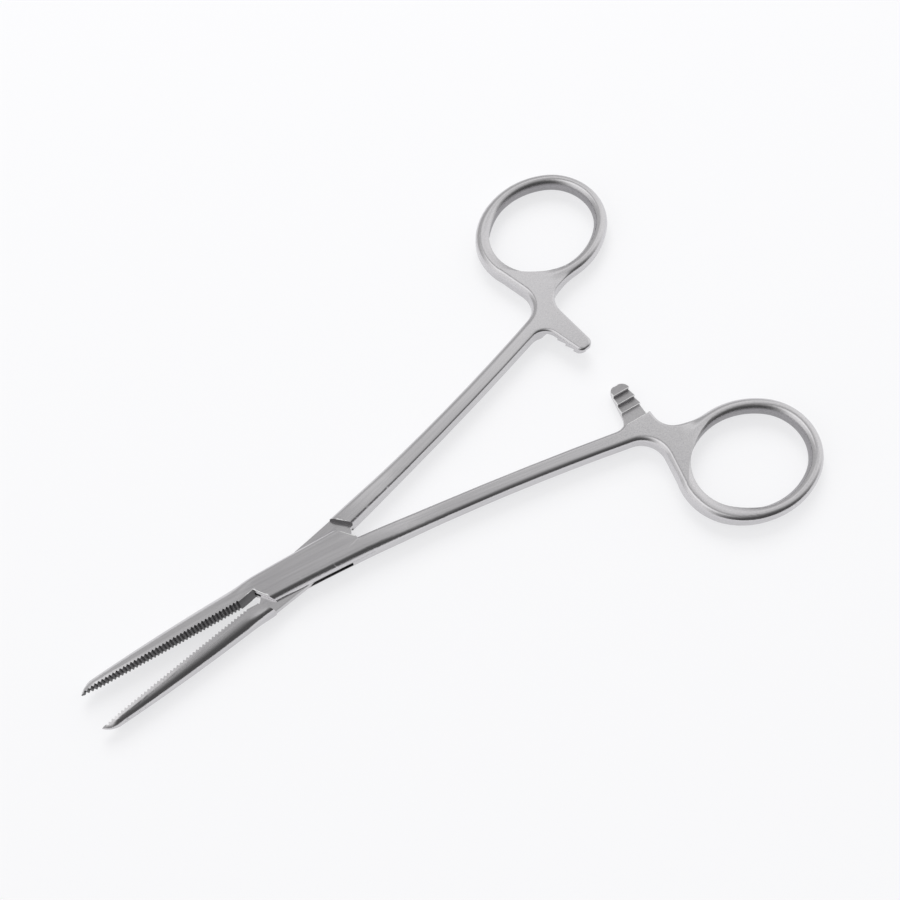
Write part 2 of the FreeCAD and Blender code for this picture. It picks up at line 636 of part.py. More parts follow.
def add_box(body):
    """The slot through the box and the seat of the pivot pin."""
    slot = add_sketch(body, "SlotOutline", "XY_Plane")
    draw_outline(slot, SLOT_OUTLINE)
    add_cut(body, "Slot", slot, "Sizes.slot_height")
    profile = add_sketch(body, "SeatProfile", "XZ_Plane")
    draw_outline(profile, SEAT_OUTLINE)
    seat = body.newObject("PartDesign::Groove", "PinSeat")
    turn_profile(seat, profile)


def add_tongue(body):
    """The thin tongue between the shoulders, and its running bore on the pivot pin."""
    shoulders = add_sketch(body, "ShoulderOutline", "XY_Plane")
    shift_sketch(shoulders, along_z="Layout.tongue_cut_middle")
    draw_outline(shoulders, SHOULDER_OUTLINE, flip_y=TONGUE_SIDE)
    upper = add_cut(body, "UpperShoulders", shoulders, "Layout.tongue_cut")
    mirror_feature(body, "LowerShoulders", upper)
    bore = add_sketch(body, "BoreOutline", "XY_Plane")
    radius = number(body.Document, "Layout.bore_radius")
    circle = bore.addGeometry(Part.Circle(FreeCAD.Vector(), FreeCAD.Vector(0, 0, 1), radius))
    bore.addConstraint(Sketcher.Constraint("Coincident", circle, 3, -1, 1))
    bind(bore, Sketcher.Constraint("Radius", circle, radius), "Layout.bore_radius")
    add_cut(body, "Bore", bore, "Sizes.box_height")


def make_pin(doc, label):
    """The pivot pin, headed into the cheeks and flush with them."""
    body = doc.addObject("PartDesign::Body", label)
    body.Label = label
    body.setExpression("Placement.Base.z", "Sizes.box_height / 2")
    profile = add_sketch(body, "PinProfile", "XZ_Plane")
    draw_outline(profile, PIN_OUTLINE)
    pin = body.newObject("PartDesign::Revolution", "Pin")
    turn_profile(pin, profile)
    return body


def check_document(doc):
    """Stop if any object failed to compute."""
    for thing in doc.Objects:
        if "Invalid" in thing.State or "Error" in thing.State:
            raise RuntimeError(f"{thing.Name} did not compute")


def main():
    doc = FreeCAD.newDocument("Hemostat")
    make_sheet(doc, "Sizes", SIZES)
    make_sheet(doc, "Layout", LAYOUT)
    box_half = make_half(doc, "box_half", BOX_SIDE)
    add_box(box_half)
    tongue_half = make_half(doc, "tongue_half", TONGUE_SIDE)
    add_tongue(tongue_half)
    for body, side in ((box_half, BOX_SIDE), (tongue_half, TONGUE_SIDE)):
        add_ratchet(body, side)
        add_serrations(body, side)
    pivot_pin = make_pin(doc, "pivot_pin")
    doc.recompute()
    check_document(doc)
    os.makedirs("parts", exist_ok=True)
    for body in (box_half, tongue_half, pivot_pin):
        if body.Shape.isNull() or not body.Shape.isValid():
            raise RuntimeError(f"{body.Label} has no valid solid")
        body.Shape.exportStep(os.path.join("parts", body.Label + ".step"))


main()
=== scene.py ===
"""Hemostat forceps: the dressed pieces, their satin steel, and the studio they lie in."""

import logging
import math
from dataclasses import dataclass
from enum import Enum
from typing import Any, Optional

import bmesh
import bpy
from mathutils import Matrix, Vector

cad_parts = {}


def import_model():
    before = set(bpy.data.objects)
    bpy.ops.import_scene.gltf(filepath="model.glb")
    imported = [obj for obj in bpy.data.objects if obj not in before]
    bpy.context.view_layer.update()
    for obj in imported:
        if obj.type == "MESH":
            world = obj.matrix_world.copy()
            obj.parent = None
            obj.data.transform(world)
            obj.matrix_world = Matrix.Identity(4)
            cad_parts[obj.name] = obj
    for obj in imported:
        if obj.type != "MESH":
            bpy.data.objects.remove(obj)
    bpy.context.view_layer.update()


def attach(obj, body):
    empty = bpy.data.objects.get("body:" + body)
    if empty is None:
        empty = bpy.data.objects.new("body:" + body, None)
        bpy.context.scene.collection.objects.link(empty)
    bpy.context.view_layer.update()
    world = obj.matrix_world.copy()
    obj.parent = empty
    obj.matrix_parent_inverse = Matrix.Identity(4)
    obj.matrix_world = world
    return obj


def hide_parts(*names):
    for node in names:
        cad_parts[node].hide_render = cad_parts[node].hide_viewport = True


Pair = tuple[float, float]
Triple = tuple[float, float, float]
Colour = tuple[float, float, float, float]

log = logging.getLogger("hemostat")

MILLIMETRE = 0.001
# How far each half is turned open, and the height of the middle plane in millimetres
OPENING = math.radians(4.75)
MIDDLE_HEIGHT = 2.5
# Directions of the brushing along the jaw and along the shank of the box half
JAW_TURN = math.radians(8.0)
SHANK_TURN = math.radians(12.75)
# What a noise texture comes to on average, and halfway between a finish's two colours
MEAN_NOISE = 0.5
MIDDLE_TONE = 0.5


class Grain(Enum):
    """How a surface was last worked."""

    BRUSHED = "brushed along the length"
    TUMBLED = "tumbled all round"


class Zone(Enum):
    """Which finish, painted shade and painted highlight a face has, as its place in the list of
    finishes.
    """

    BODY = 0
    PAINTED_SHADE_AND_CUT = 1
    MILLED = 2
    EDGE_HIGHLIGHT = 3


class Socket:
    """A shader value that can be written in sums and products."""

    def __init__(self, tree: "Tree", link: Any) -> None:
        """Wrap an output socket.

        Args:
            tree: The node tree that the socket belongs to.
            link: Blender's own output socket.
        """
        self.tree = tree
        self.link = link

    def _maths(self, operation: str, *values: Any) -> "Socket":
        """One Math node on these values."""
        return self.tree.node("ShaderNodeMath", {"operation": operation}, dict(enumerate(values)))

    def __add__(self, other: Any) -> "Socket":
        """Sum."""
        return self._maths("ADD", self, other)

    __radd__ = __add__

    def __mul__(self, other: Any) -> "Socket":
        """Product."""
        return self._maths("MULTIPLY", self, other)

    __rmul__ = __mul__

    def __sub__(self, other: Any) -> "Socket":
        """Difference."""
        return self._maths("SUBTRACT", self, other)

    def __rsub__(self, other: Any) -> "Socket":
        """Difference from a number."""
        return self._maths("SUBTRACT", other, self)

    def __truediv__(self, other: Any) -> "Socket":
        """Quotient."""
        return self._maths("DIVIDE", self, other)

    def most(self, other: Any) -> "Socket":
        """The larger of two values."""
        return self._maths("MAXIMUM", self, other)

    def ramp(self, start: float, end: float) -> "Socket":
        """A smooth step.

        Args:
            start: Value up to which the step is 0.
            end: Value from which it is 1, on either side of the start.

        Returns:
            The stepped value.
        """
        rising = start < end
        values = {0: self, 1: min(start, end), 2: max(start, end),
                  3: 0.0 if rising else 1.0, 4: 1.0 if rising else 0.0}
        return self.tree.node("ShaderNodeMapRange", {"interpolation_type": "SMOOTHSTEP"}, values)


class Tree:
    """A node tree with one way of adding a node."""

    def __init__(self, owner: Any) -> None:
        """Give a material or the world an empty tree.

        Args:
            owner: The material or world.
        """
        owner.use_nodes = True
        self.nodes = owner.node_tree.nodes
        self.links = owner.node_tree.links
        self.nodes.clear()

    def node(self, kind: str, settings: Optional[dict] = None, values: Optional[dict] = None,
             output: Any = 0) -> Optional[Socket]:
        """Add a node.

        Args:
            kind: Blender's node type.
            settings: Attributes set before the sockets.
            values: Socket values or links by input name or index.
            output: Name or index of the output that is wanted.

        Returns:
            That output as a Socket, or None for the tree's last node, which has no output.
        """
        made = self.nodes.new(kind)
        for name, value in (settings or {}).items():
            setattr(made, name, value)
        for name, value in (values or {}).items():
            if isinstance(value, Socket):
                self.links.new(value.link, made.inputs[name])
            else:
                made.inputs[name].default_value = value
        return Socket(self, made.outputs[output]) if made.outputs else None

    def split(self, vector: Socket) -> tuple[Socket, ...]:
        """The three parts of a vector."""
        made = self.node("ShaderNodeSeparateXYZ", values={0: vector}).link.node
        return tuple(Socket(self, part) for part in made.outputs)

    def vector_maths(self, operation: str, vector: Socket, other: Triple,
                     output: Any = 0) -> Socket:
        """One Vector Math node on a vector and a fixed one."""
        values = {0: vector, 1: other}
        return self.node("ShaderNodeVectorMath", {"operation": operation}, values, output)

    def noise(self, place: Socket, scale: float, detail: float = 2.0) -> Socket:
        """Plain noise, from 0 to 1."""
        values = {"Vector": place, "Scale": scale, "Detail": detail}
        return self.node("ShaderNodeTexNoise", values=values)

    def mix(self, share: Socket, first: Any, second: Any) -> Socket:
        """A colour between two colours."""
        values = {0: share, 6: first, 7: second}
        return self.node("ShaderNodeMix", {"data_type": "RGBA"}, values, 2)


@dataclass(frozen=True)
class Steel:
    """Stainless steel as an instrument maker finishes it; some of its uses carry painted shade and
    painted highlight in their colours. Places in metres, scales per metre.
    """

    name: str
    grain: Grain = Grain.BRUSHED
    jaw_turn: float = 0.0
    shank_turn: float = 0.0
    colour: Colour = (0.545, 0.535, 0.552, 1.0)
    worn: Colour = (0.70, 0.69, 0.70, 1.0)
    roughness: float = 0.20
    roughness_spread: float = 0.12
    relief: float = 0.30
    relief_depth: float = 0.02 * MILLIMETRE
    # The inner wall of the finger ring: its darker colour is painted shade, standing in for the
    # dark reflection of a rounded wall, and its extra roughness is the finish
    ring: Optional["RingForm"] = None
    side: int = 1
    hole_shade_colour: Colour = (0.27, 0.265, 0.275, 1.0)
    hole_shade_grain: Colour = (0.44, 0.43, 0.445, 1.0)
    hole_roughness: float = 0.18
    # Scratches of the brushing, and where its direction changes and tumbling takes over
    fine_scratches: Triple = (70.0, 2600.0, 2600.0)
    wide_scratches: Triple = (28.0, 1000.0, 1000.0)
    wide_share: float = 0.4
    lock_end: Pair = (0.010, 0.018)
    neck_start: Pair = (0.060, 0.070)
    neck_pitting: float = 0.8
    least_pitting: float = 0.1
    # Pits of the tumbling, and clouds over both
    pit_scale: float = 3600.0
    dent_scale: float = 1500.0
    dent_share: float = 0.3
    cloud_scale: float = 55.0
    grain_contrast: float = 1.5
    cloud_contrast: float = 0.6

    def _brushed(self, tree: Tree, place: Socket, turn: float) -> Socket:
        """Long scratches along one direction.

        Args:
            tree: The material's nodes.
            place: Where the surface is.
            turn: Angle of the scratches in plan.

        Returns:
            Noise from 0 to 1.
        """
        turned = tree.node("ShaderNodeMapping", values={"Vector": place, "Rotation": (0, 0, turn)})
        fine = tree.vector_maths("MULTIPLY", turned, self.fine_scratches)
        wide = tree.vector_maths("MULTIPLY", turned, self.wide_scratches)
        return (tree.noise(fine, 1.0, 3.0) * (1.0 - self.wide_share)
                + tree.noise(wide, 1.0, 1.0) * self.wide_share)

    def _grain(self, tree: Tree, place: Socket) -> Socket:
        """The marks that the last working left.

        Args:
            tree: The material's nodes.
            place: Where the surface is.

        Returns:
            Noise from 0 to 1.
        """
        pits = tree.noise(place, self.pit_scale)
        if self.grain is Grain.TUMBLED:
            dents = tree.noise(place, self.dent_scale, 1.0)
            return pits * (1.0 - self.dent_share) + dents * self.dent_share
        along = tree.split(place)[0]
        behind = along.ramp(*self.lock_end)
        lines = (self._brushed(tree, place, self.jaw_turn) * (1.0 - behind)
                 + self._brushed(tree, place, self.shank_turn) * behind)
        pitted = along.ramp(*self.neck_start) * self.neck_pitting
        return (lines * ((1.0 - self.least_pitting) - pitted)
                + pits * (pitted + self.least_pitting))

    def material(self) -> bpy.types.Material:
        """The finish as a material.

        Returns:
            The new material.
        """
        made = bpy.data.materials.new(self.name)
        tree = Tree(made)
        place = tree.node("ShaderNodeTexCoord", output="Object")
        grain = self._grain(tree, place)
        cloud = tree.noise(place, self.cloud_scale) - MEAN_NOISE
        tone = ((grain - MEAN_NOISE) * self.grain_contrast + cloud * self.cloud_contrast
                + MIDDLE_TONE)
        colour = tree.mix(tone, self.colour, self.worn)
        rough = (self.roughness + (grain - MEAN_NOISE) * self.roughness_spread
                 + cloud * self.roughness_spread)
        # Painted shade: the ring's inner wall is mixed towards the darker hole colours
        if self.ring is not None:
            hole = self.ring.hole_share(tree, place, self.side)
            colour = tree.mix(hole, colour, tree.mix(tone, self.hole_shade_colour, self.hole_shade_grain))
            rough = rough + hole * self.hole_roughness
        normal = tree.node("ShaderNodeBump", values={
            "Strength": self.relief, "Distance": self.relief_depth, "Height": grain})
        surface = tree.node("ShaderNodeBsdfPrincipled", values={
            "Base Color": colour, "Metallic": 1.0, "Roughness": rough, "Normal": normal})
        tree.node("ShaderNodeOutputMaterial", values={"Surface": surface})
        return made


def fade(value: float, start: float, end: float) -> float:
    """A smooth step from 0 at the start to 1 at the end, on either side of it."""
    share = min(1.0, max(0.0, (value - start) / (end - start)))
    return share * share * (3.0 - 2.0 * share)


def between(value: float, span: Pair) -> bool:
    """Whether a value lies inside a span."""
    return span[0] < value < span[1]


@dataclass(frozen=True)
class RingForm:
    """The finger ring's rounded tube, swept round an oval of four arcs. Sizes in millimetres."""

    centre: Pair = (89.9, -27.75)
    tilt: float = math.radians(3.0)
    half_length: float = 14.5
    half_width: float = 12.0
    end_radius: float = 10.8
    half_wall: float = 1.5
    half_height: float = 2.01
    squareness: float = 2.15
    # Where the tube runs out into the neck, and the share of the tube's size that stays its core
    neck: float = -9.5
    free: float = -1.5
    reach: float = 16.0
    core: float = 0.3
    # Edge of the inner wall: as a share of the oval, squared, and as the height, squared
    hole_edge: Pair = (0.895, 0.82)
    hole_height: Pair = (3.2, 1.2)

    def _local(self, point: Vector) -> Vector:
        """The point from the oval's centre, along its own axes."""
        across = Vector((point.x - self.centre[0], point.y - self.centre[1], point.z))
        return Matrix.Rotation(self.tilt, 3, "Z") @ across

    def _arc(self, local: Vector) -> tuple[Vector, float]:
        """The arc of the oval that a point lies over.

        Args:
            local: The point from the oval's centre.

        Returns:
            The arc's middle, and its radius.
        """
        end_offset = self.half_length - self.end_radius
        spread = end_offset ** 2 + self.half_width ** 2 - self.end_radius ** 2
        side_radius = spread / (2 * (self.half_width - self.end_radius))
        side_offset = side_radius - self.half_width
        side_middle = Vector((0.0, -math.copysign(side_offset, local.y)))
        from_side = local.xy - side_middle
        if abs(local.x) * side_offset > abs(from_side.y) * end_offset:
            return Vector((math.copysign(end_offset, local.x), 0.0)), self.end_radius
        return side_middle, side_radius

    def near(self, point: Vector) -> bool:
        """Whether a point lies on the ring rather than on the neck."""
        return self._local(point).x > self.neck and point.x > self.centre[0] - self.reach

    def shape(self, point: Vector) -> Vector:
        """Move a point onto the rounded tube, and less so towards the neck.

        Args:
            point: A point of the ring.

        Returns:
            The moved point.
        """
        local = self._local(point)
        middle, radius = self._arc(local)
        out = local.xy - middle
        aside = out.length - radius
        level = (abs(aside / self.half_wall) ** self.squareness
                 + abs(local.z / self.half_height) ** self.squareness) ** (1.0 / self.squareness)
        if level < self.core:
            return point
        moved = middle + out * ((radius + aside / level) / out.length)
        target = Vector((moved.x, moved.y, local.z / level))
        target = Matrix.Rotation(-self.tilt, 3, "Z") @ target
        target += Vector((self.centre[0], self.centre[1], 0.0))
        return point.lerp(target, fade(local.x, self.neck, self.free))

    def hole_share(self, tree: Tree, place: Socket, side: int) -> Socket:
        """How far a place belongs to the inner wall, as a shader value that places the painted
        shade there.

        Args:
            tree: The material's nodes.
            place: Where the surface is, in metres.
            side: 1 for the box half, -1 for the tongue half.

        Returns:
            0 on the rest of the half, 1 on the inner wall.
        """
        x, y, z = tree.split(place)
        turn = OPENING + self.tilt
        cos, sin = math.cos(turn) / MILLIMETRE, math.sin(turn) / MILLIMETRE
        centre = Matrix.Rotation(self.tilt, 2) @ Vector(self.centre)
        along = (x * cos - y * (side * sin) - centre.x) / self.half_length
        across = (x * sin + y * (side * cos) - centre.y) / self.half_width
        height = z / MILLIMETRE - MIDDLE_HEIGHT
        inside = (along * along + across * across).ramp(*self.hole_edge)
        return inside * (height * height).ramp(*self.hole_height)


@dataclass(frozen=True)
class JawForm:
    """The jaw's D-shaped section, flat on the clamping face. Sizes in millimetres."""

    # Arcs of the back in plan and of the upper face along the jaw
    back_start: float = -5.0
    back_height: float = 3.5
    back_radius: float = 464.4
    crown_start: float = -11.4
    crown_height: float = 2.5
    crown_radius: float = 634.4
    roundness: float = 2.2
    # Where the rounding begins behind the jaw and above its teeth
    root: Pair = (-10.0, -17.0)
    bite: Pair = (0.45, 1.08)
    # Where the nose slopes down, and by what share of its height
    nose: Pair = (-45.0, -48.2)
    nose_drop: float = 0.4

    def near(self, point: Vector) -> bool:
        """Whether a point lies on the jaw, off its teeth, or on its nose."""
        return point.x < self.root[0] and (point.y > self.bite[0] or point.x < self.nose[0])

    def shape(self, point: Vector) -> Vector:
        """Move a point onto the rounded back of the jaw.

        Args:
            point: A point of the jaw, off its clamping face.

        Returns:
            The moved point.
        """
        back = self.back_height - (point.x - self.back_start) ** 2 / (2 * self.back_radius)
        crown_run = min(point.x - self.crown_start, 0.0)
        crown = self.crown_height - crown_run ** 2 / (2 * self.crown_radius)
        level = (abs(point.y / back) ** self.roundness
                 + abs(point.z / crown) ** self.roundness) ** (1.0 / self.roundness)
        level = max(level, 1.0)
        height = 1.0 - self.nose_drop * fade(point.x, *self.nose) ** 2
        share = fade(point.x, *self.root) * fade(point.y, *self.bite)
        rounded = point.lerp(Vector((point.x, point.y / level, point.z / level)), share)
        return Vector((rounded.x, rounded.y, rounded.z * height))


@dataclass(frozen=True)
class CheekForm:
    """The wide rounding along the outer edge of the box lock. Sizes in millimetres."""

    # The outer edge in plan, as a curve of the second degree, and its fillet
    edge: Triple = (-3.82, -0.055, -0.0006)
    fillet: float = 1.25
    half_height: float = 2.5
    # Stretch where the solid's fillet is too coarse and is made round first
    seam: Pair = (-1.8, 5.1)
    # How wide the rounding is, how deep at the edge, and how far it goes on beyond it
    width: float = 1.7
    drop: float = 0.8
    steepest: float = 1.1
    # Where it fades in and out: in front, behind and above the slot
    front: Pair = (-11.4, -9.6)
    rear: Pair = (21.0, 12.0)
    slot_wall: Pair = (0.85, 1.6)
    # How much more of the mesh is divided above the slot and beside the rounding
    height_margin: float = 0.05
    width_margin: float = 0.4

    def _inset(self, point: Vector) -> float:
        """How far a point lies inside the outer edge."""
        start, slope, bend = self.edge
        return point.y - (start + slope * point.x + bend * point.x ** 2)

    def near(self, point: Vector) -> bool:
        """Whether a point lies on the rounding.

        Args:
            point: A point of the half.

        Returns:
            True for a point of the cheeks beside the outer edge.
        """
        beside = between(point.x, (self.front[0], self.rear[0]))
        above = abs(point.z) > self.slot_wall[0] - self.height_margin
        return beside and above and self._inset(point) < self.width + self.width_margin

    def shape(self, point: Vector) -> Vector:
        """Lower a point towards the outer edge.

        Args:
            point: A point of the cheek.

        Returns:
            The lowered point.
        """
        inset = self._inset(point)
        height = abs(point.z)
        flat_wall = self.half_height - self.fillet
        if between(point.x, self.seam) and height > flat_wall and inset < self.fillet:
            inner = self.fillet - max(inset, 0.0)
            height = max(height, flat_wall + math.sqrt(self.fillet ** 2 - inner ** 2))
        depth = min(max(0.0, 1.0 - inset / self.width), self.steepest)
        share = fade(point.x, *self.front) * fade(point.x, *self.rear)
        share *= fade(height, *self.slot_wall)
        height *= 1.0 - self.drop * depth ** 2 * share / self.half_height
        return Vector((point.x, point.y, math.copysign(height, point.z)))


Form = RingForm | JawForm | CheekForm


@dataclass(frozen=True)
class Workings:
    """Where a closed half was cut, milled or eased, where it gets painted shade, and which way
    those faces look.

    Sizes in millimetres.
    """

    # Serrated face of the jaw
    jaw_end: float = -11.2
    jaw_face: float = 0.7
    jaw_facing: float = -0.3
    jaw_tilt: float = 0.6
    # Shoulder behind the box, and the walls of its slot
    shoulder: Pair = (8.0, 13.5)
    shoulder_facing: float = -0.6
    shoulder_height: float = 0.7
    slot: Pair = (-12.0, 13.0)
    slot_height: float = 0.9
    slot_facing: float = 0.7
    # Milled plate of the ratchet
    ratchet: Pair = (66.0, 80.0)
    plate_edge: float = -8.4
    plate_height: float = 0.5
    plate_facing: float = 0.3
    # Crisp edges of the lock's upper and lower face, and of the ratchet
    lock: Pair = (-12.5, 14.0)
    lock_face: float = 2.3
    ratchet_edge: float = -9.0

    def zone(self, own: Vector, facing: Vector, side: int) -> Zone:
        """Which finish a face has, painted shade included.

        Args:
            own: The face's middle in the half's own frame.
            facing: Its normal in that frame.
            side: 1 for the box half, -1 for the tongue half.

        Returns:
            The zone.
        """
        clamping = (own.x < self.jaw_end and own.y < self.jaw_face
                    and facing.y < self.jaw_facing and abs(facing.z) < self.jaw_tilt)
        shoulder = (between(own.x, self.shoulder) and facing.x < self.shoulder_facing
                    and abs(own.z) > self.shoulder_height)
        slot = (side > 0 and between(own.x, self.slot) and abs(own.z) < self.slot_height
                and abs(facing.z) > self.slot_facing)
        # Painted shade: the shoulder and the slot walls get near-black steel; on the clamping face
        # it is part oxide in the teeth, part painted shade
        if clamping or shoulder or slot:
            return Zone.PAINTED_SHADE_AND_CUT
        milled = (between(own.x, self.ratchet) and own.y > self.plate_edge
                  and own.z * side < self.plate_height and facing.z * side > self.plate_facing)
        return Zone.MILLED if milled else Zone.BODY

    def is_crisp(self, ends: list[Vector]) -> bool:
        """Whether an edge belongs to the lock or to the ratchet.

        Args:
            ends: The edge's two ends in the half's own frame.

        Returns:
            True where tumbling has eased the edge.
        """
        lock = all(between(end.x, self.lock) and abs(end.z) > self.lock_face for end in ends)
        ratchet = all(between(end.x, self.ratchet) and end.y > self.ratchet_edge for end in ends)
        return lock or ratchet


@dataclass
class Forging:
    """One half of the forceps, or its pin, from its solid to its finish. Sizes in millimetres."""

    node: str
    body: str
    finishes: list[Steel]
    side: int = 1
    forms: tuple[Form, ...] = ()
    workings: Workings = Workings()
    # Eased edges: how wide, in how many steps, and from which length and angle on
    eased: float = 0.16
    eased_steps: int = 2
    eased_length: float = 0.8
    eased_angle: float = math.radians(35)
    # How fine the rounded forms are divided, and in how many passes at most
    finest: float = 0.55
    passes: int = 6
    # Points closer than this are one, and edges steeper than this stay sharp
    weld: float = 0.002
    crease: float = math.radians(24)
    flat_weight: int = 100

    def _own(self, place: Vector) -> Vector:
        """A point in millimetres from the pivot, in the closed half's frame, shank below."""
        turned = Matrix.Rotation(OPENING * self.side, 3, "Z") @ (place / MILLIMETRE)
        return Vector((turned.x, turned.y * self.side, turned.z - MIDDLE_HEIGHT))

    def _world(self, own: Vector) -> Vector:
        """The opposite of _own."""
        flat = Vector((own.x, own.y * self.side, own.z + MIDDLE_HEIGHT))
        return Matrix.Rotation(-OPENING * self.side, 3, "Z") @ flat * MILLIMETRE

    def _touches(self, form: Form, edge: bmesh.types.BMEdge) -> bool:
        """Whether an edge starts, ends or has its middle on a rounded form."""
        first, second = (self._own(vert.co) for vert in edge.verts)
        return form.near(first) or form.near(second) or form.near((first + second) / 2)

    def _ease_edges(self, shape: bmesh.types.BMesh) -> None:
        """Round the long crisp edges of the lock and of the ratchet, as tumbling leaves them, and
        give them the near-white material as a painted highlight.

        Args:
            shape: The half's merged mesh.
        """
        chosen = []
        for edge in shape.edges:
            if not edge.is_manifold or edge.calc_length() < self.eased_length * MILLIMETRE:
                continue
            if edge.calc_face_angle_signed() < self.eased_angle:
                continue
            if self.workings.is_crisp([self._own(vert.co) for vert in edge.verts]):
                chosen.append(edge)
        log.info("%s: %d eased edges", self.node, len(chosen))
        bmesh.ops.bevel(shape, geom=chosen, offset=self.eased * MILLIMETRE, offset_type="OFFSET",
                        segments=self.eased_steps, profile=0.5, affect="EDGES",
                        clamp_overlap=False, material=Zone.EDGE_HIGHLIGHT.value)
        bmesh.ops.triangulate(shape, faces=[face for face in shape.faces if len(face.verts) > 4])

    def _divide(self, shape: bmesh.types.BMesh, form: Form) -> None:
        """Divide the long triangles of a rounded form.

        Args:
            shape: The half's merged mesh.
            form: The rounded form.
        """
        for _ in range(self.passes):
            long_edges = [edge for edge in shape.edges
                          if edge.calc_length() > self.finest * MILLIMETRE
                          and self._touches(form, edge)]
            if not long_edges:
                break
            bmesh.ops.subdivide_edges(shape, edges=long_edges, cuts=1, use_single_edge=True)
            many_sided = [face for face in shape.faces if len(face.verts) > 3]
            bmesh.ops.triangulate(shape, faces=many_sided)
            bmesh.ops.dissolve_degenerate(shape, dist=self.weld * MILLIMETRE, edges=shape.edges)

    def _reshape(self, shape: bmesh.types.BMesh) -> None:
        """Move the points of the rounded forms onto them.

        Args:
            shape: The half's merged mesh.
        """
        for form in self.forms:
            self._divide(shape, form)
            for vert in shape.verts:
                own = self._own(vert.co)
                if form.near(own):
                    vert.co = self._world(form.shape(own))
        shape.normal_update()

    def _finish_faces(self, shape: bmesh.types.BMesh) -> None:
        """Give each face its finish, painted shade included, and keep the sharp edges sharp.

        Args:
            shape: The half's finished mesh.
        """
        for face in shape.faces:
            face.smooth = True
            if self.forms and face.material_index != Zone.EDGE_HIGHLIGHT.value:
                middle = face.calc_center_median()
                own = self._own(middle)
                facing = self._own(middle + face.normal * MILLIMETRE) - own
                face.material_index = self.workings.zone(own, facing, self.side).value
        for edge in shape.edges:
            edge.smooth = not (edge.is_manifold and edge.calc_face_angle() > self.crease)

    def build(self) -> bpy.types.Object:
        """Make the dressed piece in place of its plain solid.

        Returns:
            The dressed piece.
        """
        name = self.node + "_dressed"
        mesh = bpy.data.objects[self.node].data.copy()
        mesh.name = name
        shape = bmesh.new()
        shape.from_mesh(mesh)
        weld = self.weld * MILLIMETRE
        bmesh.ops.remove_doubles(shape, verts=shape.verts, dist=weld)
        bmesh.ops.dissolve_degenerate(shape, dist=weld / 2, edges=shape.edges)
        if self.forms:
            self._ease_edges(shape)
            self._reshape(shape)
        self._finish_faces(shape)
        # The materials come first: to clear them later would take the faces' finishes away
        mesh.materials.clear()
        for finish in self.finishes:
            mesh.materials.append(finish.material())
        shape.to_mesh(mesh)
        shape.free()
        piece = bpy.data.objects.new(name, mesh)
        bpy.context.scene.collection.objects.link(piece)
        weighted = piece.modifiers.new("Flat faces stay flat", "WEIGHTED_NORMAL")
        weighted.keep_sharp = True
        weighted.weight = self.flat_weight
        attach(piece, self.body)
        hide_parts(self.node)
        return piece


@dataclass(frozen=True)
class Sky:
    """Soft light by direction: x to the right, y away from the camera, z up."""

    # Light of the ceiling, and how much more comes from its left, its right and a window
    ceiling: Pair = (0.72, 0.92)
    ceiling_light: float = 0.54
    left: Pair = (-0.01, -0.27)
    left_light: float = 0.75
    right: Pair = (0.18, 0.42)
    right_light: float = 0.25
    window_x: Pair = (0.12, 0.24)
    window_y: Pair = (0.315, 0.375)
    window_light: float = 0.36
    # How much less comes from the far wall, and from the dark room low behind the camera
    far_wall: Pair = (0.25, 0.75)
    far_wall_shade: float = 0.42
    dark_direction: Triple = (-0.05, -0.97, 0.24)
    dark_room: Pair = (0.25, 0.92)
    dark_room_shade: float = 0.90

    def build(self) -> None:
        """Make the world that gives this light and looks white to the camera."""
        world = bpy.data.worlds.new("studio")
        bpy.context.scene.world = world
        tree = Tree(world)
        towards = tree.node("ShaderNodeTexCoord", output="Generated")
        x, y, z = tree.split(towards)
        overhead = z.ramp(*self.ceiling)
        left = x.ramp(*self.left) * self.left_light
        right = x.ramp(*self.right) * self.right_light
        window = y.ramp(*self.window_y) * x.ramp(*self.window_x) * self.window_light
        ceiling = self.ceiling_light + left + right + window
        walls = 1.0 - y.ramp(*self.far_wall) * self.far_wall_shade
        light = ceiling * overhead + (1.0 - overhead) * walls
        facing_dark = tree.vector_maths("DOT_PRODUCT", towards, self.dark_direction, "Value")
        light = light * (1.0 - facing_dark.ramp(*self.dark_room) * self.dark_room_shade)
        seen = tree.node("ShaderNodeLightPath", output="Is Camera Ray")
        light = light * (1.0 - seen) + seen
        background = tree.node("ShaderNodeBackground", values={"Color": light, "Strength": 1.0})
        tree.node("ShaderNodeOutputWorld", values={"Surface": background})


